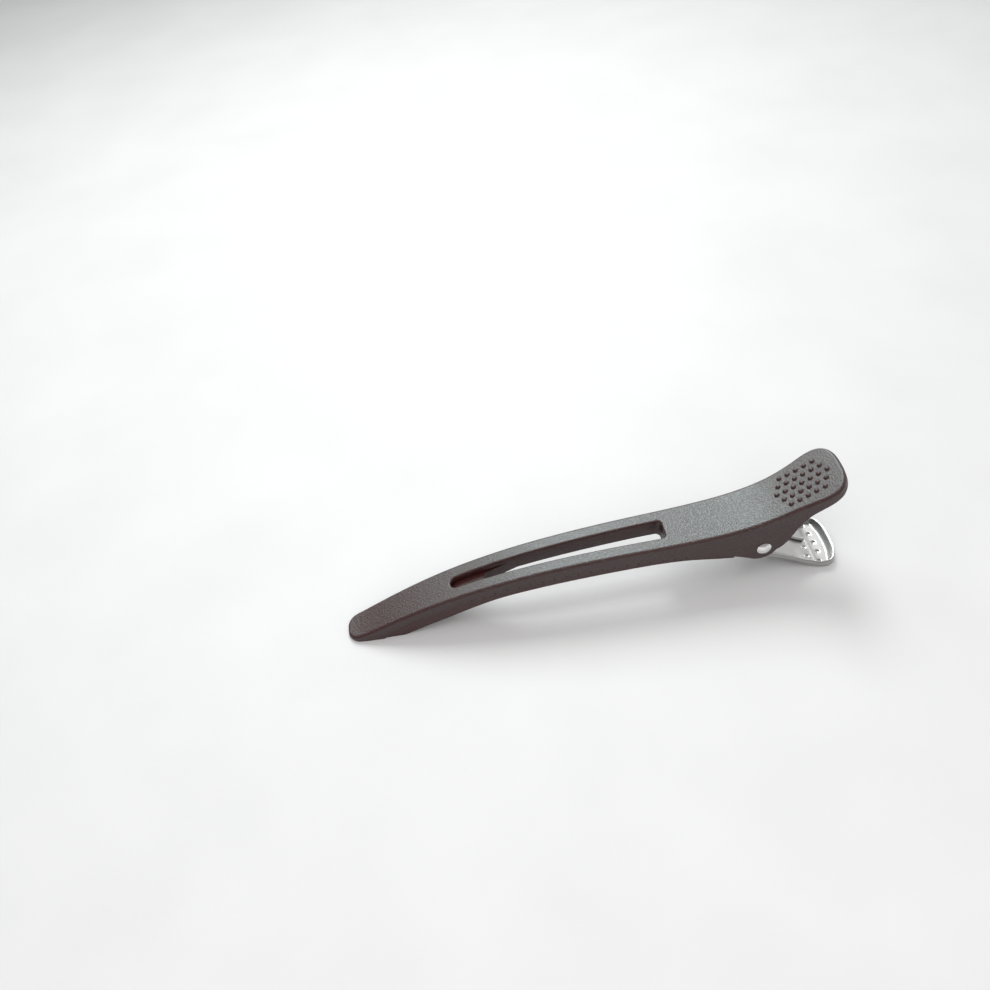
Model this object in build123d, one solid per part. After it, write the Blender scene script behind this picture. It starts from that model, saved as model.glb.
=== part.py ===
from build123d import *
from math import asin, atan2, cos, degrees, radians, sin, sqrt
import os

os.makedirs("parts", exist_ok=True)

# Frame: X from the tip to the thumb end, Z up, origin on the floor under the middle, mm
# The clip is shut and stands on the nose of its jaw and on the end of its lever

# Upper jaw
jaw_len = 113.55
thumb_h = 25.92         # height of the face at the thumb end
thumb_w = 14.8          # widest place, at the thumb pad
plate_t = 1.25          # thickness of the face
wall_t = 1.15           # thickness of the side walls
edge_round = 0.7        # rounding of the face's outer edge
nose_short = 0.2        # what the rounding takes off the very tip
thumb_edge = 2.6        # depth of the edge at the very end of the thumb pad
lean = 0.36             # how far the end walls lean out per mm down, square to the pad

# Face from the side: share of the length from the tip, share of thumb_h
face_rows = [(0.0, 0.037), (0.03, 0.0735), (0.08, 0.162), (0.14, 0.265), (0.21, 0.365),
             (0.29, 0.449), (0.38, 0.513), (0.48, 0.554), (0.58, 0.5745), (0.67, 0.5845),
             (0.74, 0.601), (0.8, 0.632), (0.86, 0.698), (0.92, 0.813), (1.0, 1.0)]
# Outline from above: share of the length from the tip, share of half of thumb_w
nose_rows = [(0.002, 0.263), (0.0095, 0.419), (0.0285, 0.5135), (0.083, 0.562)]
side_rows = [(0.083, 0.562), (0.224, 0.642), (0.4355, 0.724), (0.647, 0.797), (0.788, 0.831),
             (0.876, 0.851)]
heel_rows = [(0.876, 0.851), (0.9135, 0.9), (0.958, 1.0), (0.98, 0.92), (0.9947, 0.62)]

# Side wall: share of the way to the pin, depth under the face as a share of comb_depth
comb_depth = 2.5
nose_flat = (2.55, 8.35)        # from the tip, where the nose lies on the floor
wall_rows = [(0.1067, 1.32), (0.1173, 1.08), (0.1316, 0.92), (0.1553, 0.86), (0.2062, 0.94),
             (0.256, 1), (0.3283, 1.06), (0.4006, 1.14), (0.5186, 1.26), (0.5897, 1.33),
             (0.6839, 1.49), (0.7303, 1.6), (0.7775, 1.73), (0.8246, 1.97), (0.8717, 2.34),
             (0.9139, 2.83)]
notch_to_pin = 17.6             # from the last notch
notch_count, notch_pitch = 20, 2.7
notch_w, notch_top_w, notch_h = 0.55, 0.3, 0.42

# Hinge
thumb_len = 17.75               # from the pin to the thumb end
pin_under = 8.245               # from the face down to the pin
pin_r = 1.0
bore_play = 0.05
head_r, head_h = 1.66, 0.62
ear_r = 2.92

# Slot in the face
slot_len = 48.9
slot_to_pin = 21.35
slot_margin = 3.3               # from the jaw's side to the slot
slot_corner = 0.95
slot_round = 0.45               # rounding of its upper rim

# Dots of the thumb pad: rows across the pad and how many each holds
dot_counts = [5, 6, 7, 6, 5]
dot_pitch = 2.0
dots_from_end = 8.15
dot_r, dot_h = 0.62, 0.45

# Lower jaw
jaw_gap = 0.75                  # from the face's underside to the lower jaw
tongue_deep = 1.3               # from its top down to the lever's tongue
jaw_side_play = 0.28
low_from_tip, low_to_pin = 4.75, 4.55
rail_inset = 0.3                # from the upper jaw's side to the rail below its wall
rail_play = 0.13                # from the upper jaw's wall down to the rail
rail_to_pin = 6.6
rail_foot = 13.2                # from the tip, where the underside leaves the floor
# Underside: share of the way to the pin, depth under the face as a share of comb_depth
rail_rows = [(0.2055, 2.33), (0.264, 2.27), (0.3216, 2.06), (0.378, 1.92), (0.4223, 1.93),
             (0.5412, 1.99), (0.6591, 2.03), (0.7556, 2.1), (0.8238, 2.38), (0.8954, 3.05),
             (0.945, 3.55)]
low_slot_wider = 1.0            # than the slot in the face, on each side
low_slot_later = 7.6            # from the start of the face's slot
low_slot_taper = 8.0

# Metal lever
sheet_t = 0.6
lever_past = 0.45               # how far it reaches past the thumb end
tongue_w = 7.0
tongue_short = 0.85             # from the slot's end to the tongue's
pad_play = 0.2                  # each side of the pad lies this far inside the thumb pad's
plate_drop = 3.76               # from the pin down to the underside of the lever
neck_play, neck_len = 0.6, 4.85
lug_play, lug_t = 0.7, 0.7
lug_r = 2.35
rim_w, rim_low, rim_high = 0.75, 0.15, 1.25
# Slope behind the pin: share of the way to the end, share of the height at the pin
slope_rows = [(0.0, 1.0), (0.12, 0.895), (0.23, 0.767), (0.35, 0.6), (0.478, 0.385),
              (0.594, 0.185), (0.704, 0.048), (0.8, 0.0)]
# Pad from above: share of the way to the end, share of half of the pad's width
pad_rows = [(0.01, 0.742), (0.23, 0.789), (0.35, 0.826), (0.478, 0.866), (0.61, 0.907),
            (0.73, 0.966), (0.82, 1.0), (0.885, 0.96), (0.93, 0.86), (0.965, 0.693),
            (0.985, 0.52), (0.995, 0.34)]
mark_pitch = 2.8
mark_rows_from_end = (3.75, 6.6)
mark_places = ((-2, -1, 0, 1, 2), (-1.5, -0.5, 0.5, 1.5))      # in steps of mark_pitch
mark_r, mark_deep = 0.64, 0.28

# Spring
wire_r = 0.45
coil_r = 2.05
coil_turns = 3
coil_y0, coil_y1 = -2.1, 2.5
leg_from_end, leg_y = 6.05, 0.75
upper_leg_len = 11.15

(end_a, end_b), (last_a, last_b) = face_rows[-2:]
end_slope = (last_b - end_b) * thumb_h / ((last_a - end_a) * jaw_len)
end_out = lean * thumb_edge / (1 + lean * end_slope)
overall = jaw_len - nose_short + end_out
tip_x = -overall / 2 - nose_short
thumb_x = tip_x + jaw_len
lever_x = thumb_x + lever_past
pin_x = thumb_x - thumb_len
big = 2 * thumb_h               # size of the cutting and trimming blocks


def along(share):
    return tip_x + share * jaw_len


def to_pin(share):
    return tip_x + share * (pin_x - tip_x)


def pair(rows, x_of, y_of):
    return [(x_of(a), y_of(b)) for a, b in rows]


def lerp(line, x):
    for (x0, z0), (x1, z1) in zip(line, line[1:]):
        if x0 <= x <= x1:
            return z0 + (z1 - z0) * (x - x0) / (x1 - x0)
    return line[0][1] if x < line[0][0] else line[-1][1]


def side_curve(points, **kw):
    return Spline(*[(x, 0, z) for x, z in points], **kw)


def side_lines(points):
    return Polyline(*[(x, 0, z) for x, z in points])


def prism(edges, vec, start):
    face = Face(Wire([e for group in edges for e in group.edges()]))
    return Solid.extrude(Pos(*start) * face, Vector(*vec))


def side_solid(edges, half=10.0):
    return prism(edges, (0, 2 * half, 0), (0, -half, 0))


def height_on(curve, x):
    low, high = 0.0, 1.0
    for step in range(24):
        mid = (low + high) / 2
        low, high = (mid, high) if (curve @ mid).X < x else (low, mid)
    return (curve @ low).Z


def tilt_at(height, x):
    return -degrees(atan2(height(x + 0.5) - height(x - 0.5), 1.0))


# Face line, run on past both ends so that the outline trims it
face_points = pair(face_rows, along, lambda b: b * thumb_h)
(xa, za), (xb, zb) = face_points[:2]
before = (xa - 1.5, za - 0.6 * (zb - za) * 1.5 / (xb - xa))
(xa, za), (xb, zb) = face_points[-2:]
after = (xb + 1.9, zb + (zb - za) * 1.9 / (xb - xa))
face_points = [before] + face_points + [after]
face_curve = side_curve(face_points)


def face_z(x):
    return height_on(face_curve, x)


def half_width(x):
    rows = nose_rows + side_rows[1:] + heel_rows[1:]
    return lerp(pair(rows, along, lambda b: b * thumb_w / 2), x)


def outline_solid(z0, z1, inset=0.0, end_inset=0.0):
    def leant(x):
        return x - lean * (z1 - face_z(min(x, thumb_x)))

    def rows_of(rows):
        shrink = 1 - 2 * end_inset / jaw_len
        side = pair(rows, along, lambda b: b * thumb_w / 2)
        return [(leant(x) * shrink + (1 - shrink) * leant(0), y - inset) for x, y in side]

    def heading(p, q):
        dx, dy = q[0] - p[0], q[1] - p[1]
        return dx / sqrt(dx * dx + dy * dy), dy / sqrt(dx * dx + dy * dy)

    nose_side, left_side, heel_side = rows_of(nose_rows), rows_of(side_rows), rows_of(heel_rows)
    ax, ay = heading(nose_side[-2], left_side[1])
    bx, by = heading(left_side[-2], heel_side[1])
    front = [(x, -y) for x, y in nose_side if y > 0.2][::-1]
    front += [(leant(tip_x) + end_inset, 0)] + [p for p in nose_side if p[1] > 0.2]
    rear = heel_side + [(leant(thumb_x) - end_inset, 0)] + [(x, -y) for x, y in heel_side[::-1]]
    soft = [0.3, 0.3]
    nose = Spline(*front, tangents=[(-ax, ay), (ax, ay)], tangent_scalars=soft)
    left = Spline(*left_side, tangents=[(ax, ay), (bx, by)], tangent_scalars=soft)
    heel = Spline(*rear, tangents=[(bx, by), (-bx, by)], tangent_scalars=soft)
    return prism([nose, left, heel, left.mirror(Plane.XZ)], (lean * (z1 - z0), 0, z0 - z1), (0, 0, z1))


# Upper jaw
pin_z = face_z(pin_x) - pin_under
wall_line = [(to_pin(a), face_z(to_pin(a)) - b * comb_depth) for a, b in wall_rows]
notch_x0 = pin_x - notch_to_pin - (notch_count - 1) * notch_pitch
comb_x0 = notch_x0 - 0.85 * notch_pitch
comb_x1 = notch_x0 + (notch_count - 0.7) * notch_pitch


def comb_points():
    points = [(comb_x0, lerp(wall_line, comb_x0))]
    for i in range(notch_count):
        x = notch_x0 + i * notch_pitch
        for dx, dz in ((-notch_w / 2, 0), (-notch_top_w / 2, notch_h),
                       (notch_top_w / 2, notch_h), (notch_w / 2, 0)):
            points.append((x + dx, lerp(wall_line, x + dx) + dz))
    return points + [(comb_x1, lerp(wall_line, comb_x1))]


ear_start = (pin_x - 3.25, pin_z - 2.4)
front = [(comb_x1, lerp(wall_line, comb_x1))]
front += [p for p in wall_line if comb_x1 + 0.8 < p[0] < ear_start[0] - 3.5]
front += [(pin_x - 5.25, pin_z - 1.51), ear_start]


def jaw_profile():
    relief = [(tip_x + nose_flat[1], 0)] + [p for p in wall_line if p[0] < comb_x0 - 0.5]
    sole = [(tip_x - 1.5, 0.5), (tip_x + 0.25, 0.4), (tip_x + 1.35, 0.06), (tip_x + nose_flat[0], 0)]
    ear_end = (pin_x + 2.85, pin_z - 0.96)
    back = [ear_end, (pin_x + 4.05, pin_z - 0.21), (pin_x + 5.65, pin_z + 1.74),
            (pin_x + 7.25, pin_z + 4.74)]
    for x, depth in ((thumb_x - 8.6, 1.7 * thumb_edge), (thumb_x - 4.3, 1.15 * thumb_edge),
                     (thumb_x, thumb_edge), (after[0], thumb_edge)):
        back.append((x, face_z(x) - depth))
    arc = ThreePointArc((ear_start[0], 0, ear_start[1]), (pin_x + 0.35, 0, pin_z - ear_r),
                        (ear_end[0], 0, ear_end[1]))
    comb = comb_points()
    return [face_curve, side_lines([face_points[0], sole[0]]), side_lines(sole),
            side_lines([sole[-1]] + relief + [comb[0]]), side_lines(comb), side_curve(front), arc,
            side_curve(back), side_lines([back[-1], face_points[-1]])]


body = side_solid(jaw_profile()) & outline_solid(-1, big)
top_face = max((f for f in body.faces() if f.normal_at().Z > 0.5), key=lambda f: f.area)
body = body.fillet(min(edge_round, 0.56 * plate_t), top_face.edges())

inner_points = [(x, z - plate_t) for x, z in face_points if tip_x + 2 < x < thumb_x - 1]
inner_points += [(thumb_x - 2.6, face_z(thumb_x - 2.6) - plate_t)]
low_corner, far_corner = (inner_points[0][0], -3), (inner_points[-1][0], -3)
inner = side_solid([side_curve(inner_points),
                    side_lines([inner_points[-1], far_corner, low_corner, inner_points[0]])])
channel = inner & outline_solid(-4, big, wall_t, wall_t)
upper_jaw = body - channel

slot_x1 = pin_x - slot_to_pin
slot_x0 = slot_x1 - slot_len
slot_y0, slot_y1 = half_width(slot_x0) - slot_margin, half_width(slot_x1) - slot_margin
slot_face = make_face([
    ThreePointArc((slot_x0 + slot_y0, slot_y0), (slot_x0, 0), (slot_x0 + slot_y0, -slot_y0)),
    Polyline((slot_x0 + slot_y0, -slot_y0), (slot_x1, -slot_y1), (slot_x1, slot_y1),
             (slot_x0 + slot_y0, slot_y0))])
slot = extrude(slot_face, amount=big, dir=(0, 0, 1))
slot = fillet(slot.edges().filter_by(Axis.Z).group_by(Axis.X)[-1], slot_corner)
upper_jaw -= slot
rim = [e for e in upper_jaw.edges()
       if abs(e.center().Y) < slot_y1 + 0.1 and slot_x0 - 0.1 < e.center().X < slot_x1 + 0.1
       and abs(e.center().Z - face_z(e.center().X)) < 0.1]
upper_jaw = upper_jaw.fillet(min(slot_round, 0.4 * plate_t), rim)

ear_y = half_width(pin_x)
ear_in = ear_y - wall_t
pin_place = Pos(pin_x, 0, pin_z) * Rot(90, 0, 0)
upper_jaw -= pin_place * Cylinder(pin_r + bore_play, 2 * thumb_w)

dome_r = (dot_r ** 2 + dot_h ** 2) / (2 * dot_h)
dot_step = dot_pitch * cos(radians(tilt_at(face_z, thumb_x - dots_from_end)))
for row, count in enumerate(dot_counts):
    for i in range(count):
        x = thumb_x - dots_from_end + (i - (count - 1) / 2) * dot_step
        y = (row - (len(dot_counts) - 1) / 2) * dot_pitch
        upper_jaw += Pos(x, y, face_z(x)) * Rot(0, tilt_at(face_z, x), 0) * Pos(0, 0, dot_h - dome_r) \
            * Sphere(dome_r)


# Lever line: tongue under the lower jaw, down past the pin, slope to the floor
def low_top(x):
    return face_z(x) - plate_t - jaw_gap


plate_h = pin_z - plate_drop
tongue_x0 = slot_x1 + tongue_short
lever_line = [(x, low_top(x) - tongue_deep - sheet_t) for x in (tongue_x0, tongue_x0 + 2.5)]
lever_line += [(pin_x - 13.85, pin_z + 0.89), (pin_x - 9.35, pin_z - 0.54),
               (pin_x - 5.85, pin_z - 1.98), (pin_x - 2.85, pin_z - 2.98)]
lever_line += pair(slope_rows, lambda a: pin_x + a * (lever_x - pin_x), lambda b: b * plate_h)
under_curve = side_curve(lever_line, tangents=[(1, 0, 0), (1, 0, 0)])
over_line = [(x, z + sheet_t) for x, z in lever_line]
over_curve = side_curve(over_line, tangents=[(1, 0, 0), (1, 0, 0)])


def plate_z(x):
    return height_on(over_curve, x) if x < over_line[-1][0] else sheet_t


# Lower jaw: a bar inside the upper one, with rails just below the upper one's walls
low_x0, low_x1 = tip_x + low_from_tip, pin_x - low_to_pin
low_upper = [(low_x0, 0.62), (low_x0 + 1.2, 0.9), (low_x0 + 2.7, low_top(low_x0 + 2.7))]
low_upper += [(x, low_top(x)) for x, z in face_points if low_x0 + 5 < x < low_x1 - 3]
low_upper += [(low_x1, low_top(low_x1))]
low_under = [(to_pin(a), face_z(to_pin(a)) - b * comb_depth) for a, b in rail_rows]
low_foot = tip_x + rail_foot
rail_x1 = pin_x - rail_to_pin
low_side = [(low_x0 - 1.5, 1.2), (low_x0, 2.05)]
low_inset = wall_t + jaw_side_play
low_side += [(x, half_width(x) - low_inset) for x in
             (low_x0 + 1.7, low_x0 + 4.7, tip_x + 33, tip_x + 65, tip_x + 81, pin_x)]
rail_side = [(x, y + low_inset - rail_inset) for x, y in low_side[2:]]


def plan_solid(side):
    edge = Polyline(*side)
    ends = [Polyline(p, (p[0], -p[1])) for p in (side[0], side[-1])]
    return prism([edge, edge.mirror(Plane.XZ)] + ends, (0, 0, big), (0, 0, -1))


bottom = [side_lines([low_upper[-1], (low_x1, low_under[-1][1]), low_under[-1]]),
          side_curve(low_under[::-1]), side_lines([low_under[0], (low_foot, 0), (low_x0, 0), low_upper[0]])]
bar = side_solid([side_curve(low_upper)] + bottom) & plan_solid(low_side)
rail_top = [(tip_x + nose_flat[1], 0)] + [p for p in wall_line if p[0] < comb_x1] + front[:1]
rail_top = [(x, z - rail_play) for x, z in rail_top]
rail_front = [(x, z - rail_play) for x, z in front]
rails = side_solid([side_lines(rail_top), side_curve(rail_front),
                    side_lines([rail_front[-1], (rail_front[-1][0], 0), (low_under[-1][0], 0),
                                low_under[-1]]),
                    side_curve(low_under[::-1]),
                    side_lines([low_under[0], (low_foot, 0), (low_foot, -1), (rail_top[0][0], -1),
                                rail_top[0]])])
rails &= Pos(rail_x1 - overall, 0, big / 2) * Box(2 * overall, thumb_w, big)
lower_jaw = bar + (rails & plan_solid(rail_side))
low_slot_x0 = slot_x0 + low_slot_later
taper_x = low_slot_x0 + low_slot_taper
low_slot_side = [(low_slot_x0, 1.2), (taper_x, half_width(taper_x) - slot_margin + low_slot_wider),
                 (slot_x1, slot_y1 + low_slot_wider)]
low_slot = plan_solid(low_slot_side)
low_slot = fillet([e for e in low_slot.edges().filter_by(Axis.Z) if e.center().X != taper_x], 1.1)
lower_jaw -= low_slot
tongue_cut = [over_curve, side_lines([over_line[-1], (over_line[-1][0], -3), (over_line[0][0], -3),
                                      over_line[0]])]
lower_jaw -= side_solid(tongue_cut, tongue_w / 2 + 0.1)
lower_jaw -= side_solid(tongue_cut) & Pos(rail_x1 + overall / 2, 0, 0) * Box(overall, big, 2 * big)

# Lever: bent sheet with a neck between the ears, lugs on the pin, pad with a rolled rim
flat_x, past_x = lever_line[-1][0], lever_x + 1
sheet = side_solid([under_curve, side_lines([(flat_x, 0), (past_x, 0), (past_x, sheet_t), (flat_x, sheet_t)]),
                    over_curve, side_lines([over_line[0], lever_line[0]])])
pad_points = pair(pad_rows, lambda a: pin_x + a * (lever_x - pin_x), lambda b: b * (thumb_w / 2 - pad_play))
neck_y = ear_in - neck_play


def pad_outline(inset):
    points = [(x - inset * (x - pin_x) / (lever_x - pin_x), y - inset) for x, y in pad_points]
    points = [p for p in points if p[1] > 1.5]
    side = Spline(*points, (lever_x - inset, 0), tangents=[(1, 0.05), (0, -1)], tangent_scalars=[1, 0.5])
    x, y = points[0]
    if inset:
        tail = [(x, y), (x, -y)]
    else:
        neck_x = pin_x - neck_len
        tail = [(x, y), (x - 1, neck_y), (neck_x, neck_y), (neck_x - 1.2, tongue_w / 2),
                (tongue_x0 - 5, tongue_w / 2)]
        tail += [(a, -b) for a, b in tail[::-1]]
    return prism([side, side.mirror(Plane.XZ), Polyline(*tail)], (0, 0, big), (0, 0, -1))


def rim_z(x):
    share = (x - pin_x) / (lever_x - pin_x)
    return plate_z(x) + rim_low + rim_high * share ** 2


rim_xs = [pin_x + share * (lever_x - pin_x) for share in (0.08, 0.23, 0.35, 0.48, 0.6, 0.7, 0.8, 0.9, 1.05)]
rim_top = [(x, rim_z(x)) for x in rim_xs]
rim_foot = [(x, plate_z(x) - sheet_t / 2) for x in rim_xs]
rim_zone = side_solid([side_lines(rim_top), side_lines([rim_top[-1], rim_foot[-1]]),
                       side_lines(rim_foot[::-1]), side_lines([rim_foot[0], rim_top[0]])])
pad_block = pad_outline(0)
lever = (sheet & pad_block) + ((rim_zone & pad_block) - pad_outline(rim_w))
foot_x0, foot_x1 = pin_x - 3.6, pin_x + 3.0
lug = make_face([
    ThreePointArc((pin_x - lug_r, 0, pin_z), (pin_x, 0, pin_z + lug_r), (pin_x + lug_r, 0, pin_z)),
    side_lines([(pin_x + lug_r, pin_z), (foot_x1, plate_z(foot_x1) - sheet_t / 2),
                (foot_x0, plate_z(foot_x0) - sheet_t / 2), (pin_x - lug_r, pin_z)])])
for y in (ear_in - lug_play - lug_t, lug_play - ear_in):
    lever += extrude(Pos(0, y, 0) * lug, amount=lug_t, dir=(0, 1, 0))
lever -= pin_place * Cylinder(pin_r + 0.01, 2 * thumb_w)
ball_r = (mark_r ** 2 + mark_deep ** 2) / (2 * mark_deep)
for from_end, places in zip(mark_rows_from_end, mark_places):
    for place in places:
        x, y = lever_x - from_end - 0.1 * abs(place) ** 3, place * mark_pitch
        lever -= Pos(x, y, plate_z(x) + ball_r - mark_deep) * Sphere(ball_r)

# Pin with two domed heads
pin = pin_place * Cylinder(pin_r, 2 * ear_y + 0.1)
ball_r = (head_r ** 2 + head_h ** 2) / (2 * head_h)
for side in (-1, 1):
    ball = Pos(pin_x, side * (ear_y + 0.04 + head_h - ball_r), pin_z) * Sphere(ball_r)
    keep = Pos(pin_x, side * (ear_y + 0.04 + head_h / 2), pin_z) * Box(4 * head_r, head_h, 4 * head_r)
    pin += ball & keep


# Spring: the coil with the leg on the lever, and the straight leg under the thumb pad
def wire(points):
    path = Spline(*points)
    return sweep(Plane(origin=path @ 0, z_dir=path % 0) * Circle(wire_r), path=path, is_frenet=True)


def on_coil(angle, y):
    return (pin_x + coil_r * cos(radians(angle)), y, pin_z + coil_r * sin(radians(angle)))


under_x = pin_x + upper_leg_len
under_z = face_z(under_x) - plate_t - wire_r - 0.03
reach = sqrt((under_x - pin_x) ** 2 + (under_z - pin_z) ** 2)
coil_start = degrees(atan2(under_z - pin_z, under_x - pin_x)) - degrees(asin(coil_r / reach)) + 90
coil_end = coil_start + 360 * coil_turns + (246 - coil_start) % 360
steps = int((coil_end - coil_start) / 22.5)
coil_points = []
for i in range(steps + 1):
    k = i / steps
    coil_points.append(on_coil(coil_start + k * (coil_end - coil_start), coil_y0 + k * (coil_y1 - coil_y0)))
leg_x0, leg_x1 = pin_x + 1.55, lever_x - leg_from_end
leg_points = []
for i in range(6):
    x = leg_x0 + i / 5 * (leg_x1 - leg_x0)
    across = (x - pin_x) / (leg_x1 - pin_x)
    lift = 0.55 * max(0.0, 1 - i / 2.2) ** 2
    z = plate_z(x) + 1.04 * wire_r / cos(radians(tilt_at(plate_z, x))) + lift
    leg_points.append((x, coil_y1 + (leg_y - coil_y1) * across, z))
spring = wire(coil_points + leg_points)
start, end = on_coil(coil_start, coil_y0), (under_x, coil_y0, under_z)
spring_leg = wire([start, tuple((a + b) / 2 for a, b in zip(start, end)), end])

for name, shape in (("upper_jaw", upper_jaw), ("lower_jaw", lower_jaw), ("lever", lever), ("pin", pin),
                    ("spring", spring), ("spring_leg", spring_leg)):
    box = shape.bounding_box()
    print(name, shape.is_valid, round(shape.volume, 1), len(shape.solids()), box.min, box.max)
    export_step(shape, "parts/" + name + ".step")
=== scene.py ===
from math import cos, hypot, pi, radians, sin

import bmesh
import bpy
from mathutils import Matrix, Vector

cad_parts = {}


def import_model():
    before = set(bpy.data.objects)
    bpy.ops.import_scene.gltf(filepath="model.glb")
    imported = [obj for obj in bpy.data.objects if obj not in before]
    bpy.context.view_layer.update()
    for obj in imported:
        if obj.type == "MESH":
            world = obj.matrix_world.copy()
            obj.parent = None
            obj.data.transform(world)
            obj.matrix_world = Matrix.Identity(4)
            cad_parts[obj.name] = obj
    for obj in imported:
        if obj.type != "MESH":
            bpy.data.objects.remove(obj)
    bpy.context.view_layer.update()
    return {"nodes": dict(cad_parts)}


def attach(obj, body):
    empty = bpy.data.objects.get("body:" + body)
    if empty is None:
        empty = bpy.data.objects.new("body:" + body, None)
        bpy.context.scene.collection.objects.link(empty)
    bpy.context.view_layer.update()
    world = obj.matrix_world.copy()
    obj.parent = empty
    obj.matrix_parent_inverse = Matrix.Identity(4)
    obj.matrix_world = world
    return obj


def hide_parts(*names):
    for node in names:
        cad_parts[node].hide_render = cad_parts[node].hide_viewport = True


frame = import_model()

MM = 0.001

# Camera: place in mm, angles in degrees, focal length in pixels of the square frame
camera_place = (-23.07, -149.68, 182.99)
camera_azimuth, camera_elevation, camera_roll = 1.71, 44.66, 9.30
focal_px, frame_px, sensor_mm = 1011.3, 990, 36.0

# Lever sheet, mm: thickness, length of the round end, and how far before the pin the tongue stops
sheet_t, cap_len, tongue_gap = 0.6, 3.6, 6.0

# Rim, mm: length over which it rises past the pin, height there, and what it gains up to the end
rim_first, rim_low, rim_high = 2.2, 0.5, 0.95
# The rim's foot is wider at the end: growth per mm of inset, counted from this inset
rim_flare, flare_from = 1.0, 0.5
# Edge, rim and groove from the outside in: inset from the outline in mm, then the share of the rim's
# height at the sides and at the end. A share below zero is a drop, as a share of drop_full in mm.
drop_full = 2.0
rim_rows = [(0.02, -0.15, -0.15), (0.0, 0.3, 0.3), (0.0, 0.62, 0.62), (0.05, 0.8, 0.8),
            (0.14, 0.93, 0.93), (0.27, 1.0, 1.0), (0.40, 0.98, 0.98), (0.51, 0.9, 0.92),
            (0.58, 0.76, 0.84), (0.62, 0.55, 0.78), (0.67, 0.3, 0.7), (0.75, 0.1, 0.58),
            (0.86, -0.05, 0.42), (0.97, -0.1, 0.26), (1.08, -0.05, 0.12), (1.2, 0.0, 0.0)]
# Underside, mm: inset of its edge and of its inner points
edge_inset, under_inset = 0.15, 1.0

# Dimples, mm: pitch, radius, depth, bow of a row, and each row's distance from the end with its places
dimple_pitch, dimple_r, dimple_depth, dimple_bow = 2.8, 0.64, 0.3, 0.1
dimple_rows = ((3.75, (-2, -1, 0, 1, 2)), (6.6, (-1.5, -0.5, 0.5, 1.5)))

# Lugs, mm: radius round the pin, inner face, thickness, and the ends of the foot from the pin
lug_r, lug_y, lug_t = 2.35, 3.63, 0.7
lug_foot = (-3.6, 3.0)

# Mesh of the lever: steps in mm and degrees, then counts
row_step, tongue_step, lug_step = 0.16, 0.7, 6
cap_rows, plate_columns, smooth_passes, normal_reach = 56, 72, 12, 4
# Points nearer than this many mm are joined, edges sharper than this many degrees stay sharp, and no
# length that divides is smaller than tiny
join_dist, sharp_angle, tiny = 0.002, 38, 1e-9
# Rays that measure the solid lever, mm: start outside it, line beside the middle, first row's inset
ray_start, ray_y, first_inset = 20.0, 0.7, 0.02

floor_size = 6.0  # m


# Node materials
class Nodes:
    """A material under construction, whose textures lie in the object's own coordinates."""

    def __init__(self, name):
        self.material = bpy.data.materials.new(name)
        self.material.use_nodes = True
        self.tree = self.material.node_tree
        self.tree.nodes.clear()

    def add(self, kind, **sockets):
        node = self.tree.nodes.new("ShaderNode" + kind)
        for name, value in sockets.items():
            self.set(node, name.replace("_", " "), value)
        return node

    def set(self, node, which, value):
        socket = node.inputs[which]
        if isinstance(value, bpy.types.NodeSocket):
            self.tree.links.new(value, socket)
        else:
            socket.default_value = value

    def place(self):
        return self.add("TexCoord").outputs["Object"]

    def noise(self, scale, detail=2.0, roughness=0.5):
        node = self.add("TexNoise", Vector=self.place(), Scale=scale, Detail=detail, Roughness=roughness)
        return node.outputs["Fac"]

    def cells(self, scale):
        return self.add("TexVoronoi", Vector=self.place(), Scale=scale).outputs["Distance"]

    def ramp(self, value, *stops):
        node = self.add("ValToRGB", Fac=value)
        for element, (place, color) in zip(node.color_ramp.elements, stops):
            element.position = place
            element.color = color
        return node.outputs["Color"]

    def scaled(self, value, share):
        node = self.add("Math")
        node.operation = "MULTIPLY"
        self.set(node, 0, value)
        self.set(node, 1, share)
        return node.outputs[0]

    def mix(self, factor, a, b):
        node = self.add("Mix")
        node.data_type = "RGBA"
        # In colour mode the factor is socket 0, the colours are 6 and 7, and the result is 2
        for index, value in ((0, factor), (6, a), (7, b)):
            self.set(node, index, value)
        return node.outputs[2]

    def bump(self, height, depth):
        return self.add("Bump", Height=height, Distance=depth).outputs["Normal"]

    def finish(self, **sockets):
        shader = self.add("BsdfPrincipled", **sockets)
        self.add("OutputMaterial", Surface=shader.outputs[0])
        return self.material


def grey(value, warm=0.0):
    return (value * (1 + warm), value, value * (1 - warm), 1)


def jaw_plastic(name, dark, light, rough):
    """Dark satin plastic with a fine grain and sparse paler flakes."""
    nodes = Nodes(name)
    flake_color, flake_share = (0.055, 0.045, 0.042, 1), 0.5
    grain = nodes.noise(scale=2300.0, detail=2.0, roughness=0.6)
    flake = nodes.ramp(nodes.cells(scale=1700.0), (0.12, grey(1.0)), (0.34, grey(0.0)))
    tone = nodes.ramp(nodes.noise(scale=45.0, detail=3.0), (0.3, dark), (0.7, light))
    color = nodes.mix(nodes.scaled(flake, flake_share), tone, flake_color)
    roughness = nodes.ramp(grain, (0.35, grey(rough * 1.15)), (0.7, grey(rough * 0.85)))
    return nodes.finish(Base_Color=color, Roughness=roughness, Normal=nodes.bump(grain, depth=0.00011),
                        IOR=1.65, Specular_Tint=(0.8, 1.0, 1.0, 1))


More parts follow.
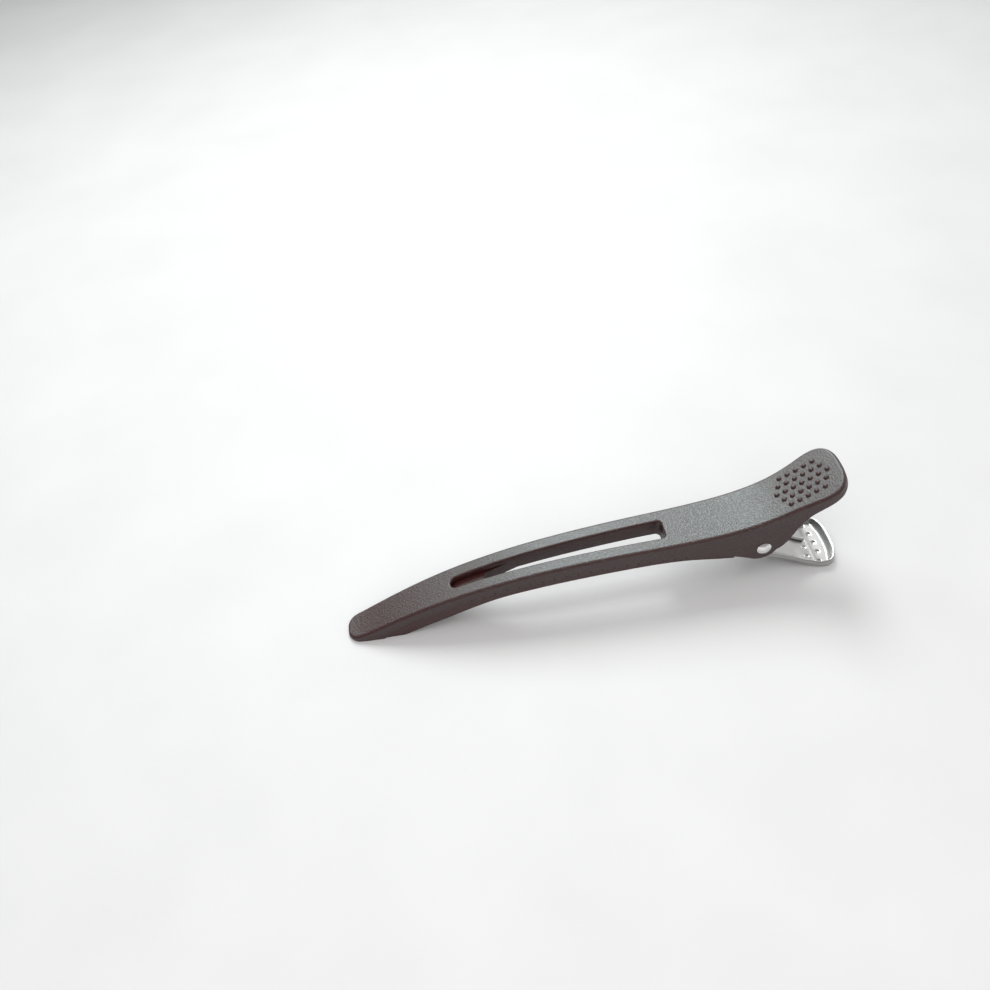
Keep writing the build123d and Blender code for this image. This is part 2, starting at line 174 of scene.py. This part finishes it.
def plated(name, value, rough, scale):
    """Bright plated steel, very lightly worn."""
    nodes = Nodes(name)
    wear = nodes.noise(scale, detail=4.0, roughness=0.6)
    color = nodes.ramp(wear, (0.3, grey(value * 0.96, warm=0.01)), (0.7, grey(value, warm=0.01)))
    roughness = nodes.ramp(wear, (0.3, grey(rough * 1.15)), (0.7, grey(rough * 0.9)))
    return nodes.finish(Base_Color=color, Metallic=1.0, Roughness=roughness,
                        Normal=nodes.bump(wear, depth=0.0000006))


def floor_paint():
    nodes = Nodes("floor")
    color = nodes.ramp(nodes.noise(scale=30.0), (0.3, grey(0.43)), (0.7, grey(0.45)))
    normal = nodes.bump(nodes.noise(scale=700.0), depth=0.00002)
    return nodes.finish(Base_Color=color, Roughness=0.6, Normal=normal)


def dress(node, material):
    for slot in frame["nodes"][node].material_slots:
        slot.material = material


def dress_solids():
    dress("upper_jaw", jaw_plastic("jaw_plastic", dark=(0.028, 0.0065, 0.006, 1),
                                   light=(0.033, 0.009, 0.0085, 1), rough=0.43))
    dress("lower_jaw", jaw_plastic("lower_plastic", dark=(0.034, 0.006, 0.005, 1),
                                   light=(0.040, 0.008, 0.007, 1), rough=0.5))
    dress("pin", plated("pin_metal", value=0.9, rough=0.24, scale=400.0))
    wire = plated("spring_wire", value=0.66, rough=0.3, scale=1500.0)
    dress("spring", wire)
    dress("spring_leg", wire)


# Plan of the lever, measured on the solid one, in mm
def span(obj, axis):
    """Both ends of the object's box along one axis."""
    values = [(obj.matrix_world @ Vector(corner))[axis] / MM for corner in obj.bound_box]
    return min(values), max(values)


def hit(obj, start, heading):
    """Where a ray meets the object."""
    _, place, _, _ = obj.ray_cast(Vector(start) * MM, Vector(heading))
    return place / MM


def side_rows(solid, pin_x):
    """Rows from the tongue to the round end: x, half of the width, height of the underside."""
    start_x, end_x = span(solid, 0)
    x = start_x + first_inset
    rows = []
    while x < end_x - cap_len:
        low = hit(solid, (x, ray_y, -ray_start), (0, 0, 1)).z
        edge = hit(solid, (x, ray_start, low + sheet_t / 2), (0, -1, 0))
        rows.append((x, edge.y, low))
        x += tongue_step if x < pin_x - tongue_gap else row_step
    return rows


def end_rows(solid):
    """Rows of the round end, taken by angle, with the underside on the floor."""
    cap_x = span(solid, 0)[1] - cap_len
    rows = []
    for i in range(cap_rows + 1):
        angle = pi / 2 * (1 - i / cap_rows)
        out_x, out_y = cos(angle), sin(angle)
        start = (cap_x + ray_start * out_x, ray_start * out_y, sheet_t / 2)
        edge = hit(solid, start, (-out_x, -out_y, 0))
        rows.append((edge.x, max(edge.y, 0.0), 0.0))
    return rows


def smoothed(plan, pin_x):
    """The plan with its rows past the pin evened out, and the last one kept."""
    for _ in range(smooth_passes):
        even = [tuple((a + 2 * b + c) / 4 for a, b, c in zip(*three))
                for three in zip(plan, plan[1:], plan[2:])]
        plan[1:-1] = [new if old[0] > pin_x else old for old, new in zip(plan[1:-1], even)]
    return plan


def underside(plan, x):
    """Height of the underside at x."""
    for (xa, _, za), (xb, _, zb) in zip(plan, plan[1:]):
        if xa <= x <= xb:
            return za + (zb - za) * (x - xa) / max(xb - xa, tiny)
    return plan[0][2] if x < plan[0][0] else 0.0


def inward(plan, i, pin_x):
    """Direction from the outline into the sheet at row i."""
    x = plan[i][0]
    if i == len(plan) - 1:
        return -1.0, 0.0
    if i == 0 or x < pin_x - tongue_gap:
        return 0.0, -1.0
    reach = min(normal_reach, len(plan) - 1 - i) if x > pin_x else 1
    ax, ay, _ = plan[i - reach]
    bx, by, _ = plan[i + reach]
    length = hypot(bx - ax, by - ay)
    return (by - ay) / length, -(bx - ax) / length


# Pressed lever: a sheet with a rolled rim, a groove and dimples, and two lugs, in mm
def rim_height(x, pin_x, end_x):
    grown = min(max((x - pin_x) / rim_first, 0.0), 1.0)
    share = max((x - pin_x) / (end_x - pin_x), 0.0)
    return grown * (rim_low + rim_high * share ** 2)


def rim_points(plan, x, y, nx, ny, height):
    """One side's edge and rim, from the outside in."""
    points = []
    for inset, at_side, at_end in rim_rows:
        part = at_side + (at_end - at_side) * nx ** 2
        inset += rim_flare * nx ** 2 * max(inset - flare_from, 0.0)
        px, py = x + nx * inset, y + ny * inset
        top = underside(plan, px) + sheet_t
        points.append((px, max(py, 0.0), top + part * (height if part > 0 else drop_full)))
    return points


def dimple(x, y, end_x):
    """Depth of the dimple at a place of the plate."""
    drop = 0.0
    for from_end, places in dimple_rows:
        for place in places:
            dx = x - (end_x - from_end - dimple_bow * abs(place) ** 3)
            share = hypot(dx, y - place * dimple_pitch) / dimple_r
            if share < 1:
                drop = dimple_depth * (1 - share ** 2)
    return drop


def plate_points(plan, x, half_width, end_x):
    """The plate's top between the rims, from one side to the other."""
    top = underside(plan, x) + sheet_t
    ys = [half_width * (1 - 2 * k / plate_columns) for k in range(1, plate_columns)]
    return [(x, y, top - dimple(x, y, end_x)) for y in ys]


def under_points(plan, x, y, nx, ny):
    """The underside, back from the other side."""
    edge_x, edge_y = x + nx * edge_inset, max(y + ny * edge_inset, 0.0)
    mid_x, mid_y = x + nx * under_inset, max(0.5 * (y + ny * under_inset), 0.0)
    edge_z, mid_z = underside(plan, edge_x), underside(plan, mid_x)
    return [(edge_x, -edge_y, edge_z), (mid_x, -mid_y, mid_z),
            (mid_x, mid_y, mid_z), (edge_x, edge_y, edge_z)]


def join_rings(mesh, first, second):
    for k in range(len(first)):
        j = (k + 1) % len(first)
        mesh.faces.new((first[k], first[j], second[j], second[k]))


def sheet(mesh, plan, pin_x, end_x):
    rings = []
    for i, (x, y, _) in enumerate(plan):
        nx, ny = inward(plan, i, pin_x)
        rim = rim_points(plan, x, y, nx, ny, rim_height(x, pin_x, end_x))
        inner_x, inner_y, _ = rim[-1]
        plate = plate_points(plan, inner_x, inner_y, end_x)
        other_rim = [(px, -py, pz) for px, py, pz in rim[::-1]]
        ring = rim + plate + other_rim + under_points(plan, x, y, nx, ny)
        rings.append([mesh.verts.new(Vector(point) * MM) for point in ring])
    for first, second in zip(rings, rings[1:]):
        join_rings(mesh, first, second)
    mesh.faces.new(rings[0][::-1])
    bmesh.ops.remove_doubles(mesh, verts=mesh.verts, dist=join_dist * MM)


def lug(mesh, plan, pin_x, pin_z, side):
    """Flat lug round the pin, with its foot in the sheet."""
    angles = [radians(a) for a in range(0, 181, lug_step)]
    outline = [(pin_x + lug_r * cos(a), pin_z + lug_r * sin(a)) for a in angles]
    outline += [(pin_x + dx, underside(plan, pin_x + dx) + sheet_t / 2) for dx in lug_foot]
    inner, outer = [[mesh.verts.new(Vector((x, side * y, z)) * MM) for x, z in outline]
                    for y in (lug_y, lug_y + lug_t)]
    mesh.faces.new(inner)
    mesh.faces.new(outer[::-1])
    join_rings(mesh, inner, outer)


def lever_piece():
    solid, pin = frame["nodes"]["lever"], frame["nodes"]["pin"]
    pin_x, pin_z = sum(span(pin, 0)) / 2, sum(span(pin, 2)) / 2
    end_x = span(solid, 0)[1]
    plan = smoothed(side_rows(solid, pin_x) + end_rows(solid), pin_x)
    mesh = bmesh.new()
    sheet(mesh, plan, pin_x, end_x)
    for side in (-1, 1):
        lug(mesh, plan, pin_x, pin_z, side)
    bmesh.ops.recalc_face_normals(mesh, faces=mesh.faces)
    for face in mesh.faces:
        face.smooth = True
    data = bpy.data.meshes.new("pressed_lever")
    mesh.to_mesh(data)
    mesh.free()
    data.set_sharp_from_angle(angle=radians(sharp_angle))
    piece = bpy.data.objects.new("pressed_lever", data)
    bpy.context.collection.objects.link(piece)
    data.materials.append(plated("lever_metal", value=0.49, rough=0.3, scale=1500.0))
    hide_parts("lever")
    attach(piece, "lower")


# Floor, lights and camera
def floor():
    bpy.ops.mesh.primitive_plane_add(size=floor_size, location=(0, 0, 0))
    plane = bpy.context.object
    plane.name = "floor"
    plane.data.materials.append(floor_paint())


def softbox(name, place_mm, size_mm, watts, color, gloss=True):
    """Soft light aimed at the middle of the clip; without gloss it shows in no reflection."""
    light = bpy.data.lights.new(name, "AREA")
    light.shape = "RECTANGLE"
    light.size, light.size_y = size_mm[0] * MM, size_mm[1] * MM
    light.energy = watts
    light.color = color
    obj = bpy.data.objects.new(name, light)
    bpy.context.collection.objects.link(obj)
    obj.location = Vector(place_mm) * MM
    obj.rotation_mode = "QUATERNION"
    obj.rotation_quaternion = (-Vector(place_mm)).to_track_quat("-Z", "Y")
    obj.visible_glossy = gloss


def softboxes():
    softbox("key", (15, 330, 400), (190, 300), watts=2.35, color=(0.97, 1.0, 1.0))
    softbox("left", (-250, 330, 315), (130, 220), watts=0.38, color=(0.92, 1.0, 1.0))
    softbox("top", (-60, -150, 620), (700, 500), watts=2.5, color=(1.0, 0.98, 0.98), gloss=False)
    softbox("front", (-40, -420, 330), (900, 450), watts=2.3, color=(1.0, 0.98, 0.98), gloss=False)


def world():
    """Even light, weaker from the camera's side and from the left."""
    surround = bpy.data.worlds.new("world")
    surround.use_nodes = True
    nodes, links = surround.node_tree.nodes, surround.node_tree.links
    split = nodes.new("ShaderNodeSeparateXYZ")
    links.new(nodes.new("ShaderNodeTexCoord").outputs["Generated"], split.inputs[0])
    product = nodes.new("ShaderNodeMath")
    product.operation = "MULTIPLY"
    # For each axis: the stretch of the direction over which the light grows, and from what to what
    growth = (("Y", (-0.6, 0.4, 0.3, 0.9)), ("X", (-0.68, -0.4, 0.12, 1.0)))
    for index, (axis, limits) in enumerate(growth):
        part = nodes.new("ShaderNodeMapRange")
        links.new(split.outputs[axis], part.inputs["Value"])
        for name, value in zip(("From Min", "From Max", "To Min", "To Max"), limits):
            part.inputs[name].default_value = value
        links.new(part.outputs[0], product.inputs[index])
    sky = nodes["Background"]
    sky.inputs["Color"].default_value = (1, 1, 1, 1)
    links.new(product.outputs[0], sky.inputs["Strength"])
    bpy.context.scene.world = surround


def camera():
    azimuth, elevation, roll = (radians(v) for v in (camera_azimuth, camera_elevation, camera_roll))
    forward = Vector((sin(azimuth) * cos(elevation), cos(azimuth) * cos(elevation), -sin(elevation)))
    level_right = Vector((cos(azimuth), -sin(azimuth), 0))
    level_down = forward.cross(level_right)
    right = cos(roll) * level_right + sin(roll) * level_down
    down = forward.cross(right)
    data = bpy.data.cameras.new("camera")
    data.sensor_width = sensor_mm
    data.lens = focal_px * sensor_mm / frame_px
    data.clip_start, data.clip_end = 0.01, 20.0
    obj = bpy.data.objects.new("camera", data)
    bpy.context.collection.objects.link(obj)
    place = Matrix((right, -down, -forward)).transposed().to_4x4()
    place.translation = Vector(camera_place) * MM
    obj.matrix_world = place
    bpy.context.scene.camera = obj


dress_solids()
lever_piece()
floor()
softboxes()
world()
camera()
bpy.context.scene.view_settings.view_transform = "Standard"
